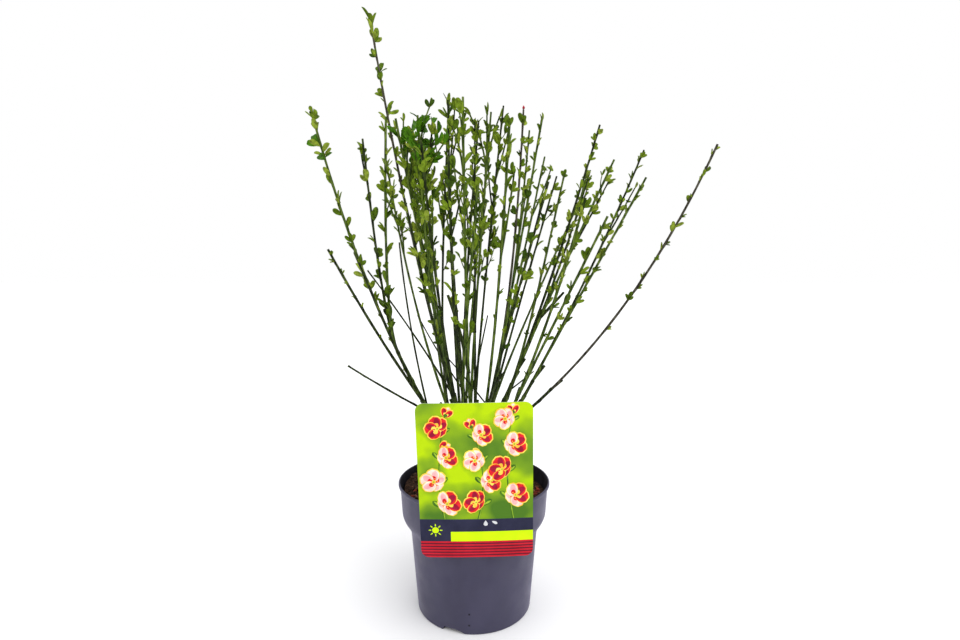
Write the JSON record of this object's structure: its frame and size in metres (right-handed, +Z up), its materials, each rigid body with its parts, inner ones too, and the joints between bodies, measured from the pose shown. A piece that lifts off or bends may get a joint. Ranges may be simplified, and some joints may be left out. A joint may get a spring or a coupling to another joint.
{
  "type": "potted broom shrub",
  "caption": "Broom shrub with upright arching wands and small leaves, standing in a round nursery pot with a picture card hooked over the rim.",
  "frame": {"origin": "centre of the pot's flat underside, on the surface that it stands on", "axes": "+Z up along the pot's axis, -Y towards the face of the picture card, +X to the right as the card is seen"},
  "size_m": [0.4108, 0.3329, 0.6644],
  "materials": {
    "pot": "matte moulded plastic",
    "soil": "dark peat with bark chips",
    "card": null,
    "bark": "green and brown ribbed bark",
    "leaf": "small fresh green leaves on green twigs"
  },
  "bodies": {
    "root": {"pot": "pot", "soil": "soil", "picture_card": "card", "trunk": "bark", "left_bough": "bark", "low_left_bough": "bark", "tall_bough": "bark", "back_left_bough": "bark", "far_back_bough": "bark", "back_bough": "bark", "back_right_bough": "bark", "middle_left_bough": "bark", "inner_back_bough": "bark", "middle_bough": "bark", "middle_right_bough": "bark", "front_left_bough": "bark", "front_bough": "bark", "front_right_bough": "bark", "right_bough": "bark", "right_back_bough": "bark", "outer_right_bough": "bark", "far_right_bough": "bark", "bare_twig": "bark", "left_mass": "leaf", "low_left_mass": "leaf", "tall_mass": "leaf", "back_left_mass": "leaf", "far_back_mass": "leaf", "back_mass": "leaf", "back_right_mass": "leaf", "middle_left_mass": "leaf", "inner_back_mass": "leaf", "middle_mass": "leaf", "middle_right_mass": "leaf", "front_left_mass": "leaf", "front_mass": "leaf", "front_right_mass": "leaf", "right_mass": "leaf", "right_back_mass": "leaf", "outer_right_mass": "leaf", "far_right_mass": "leaf"}
  },
  "joints": []
}
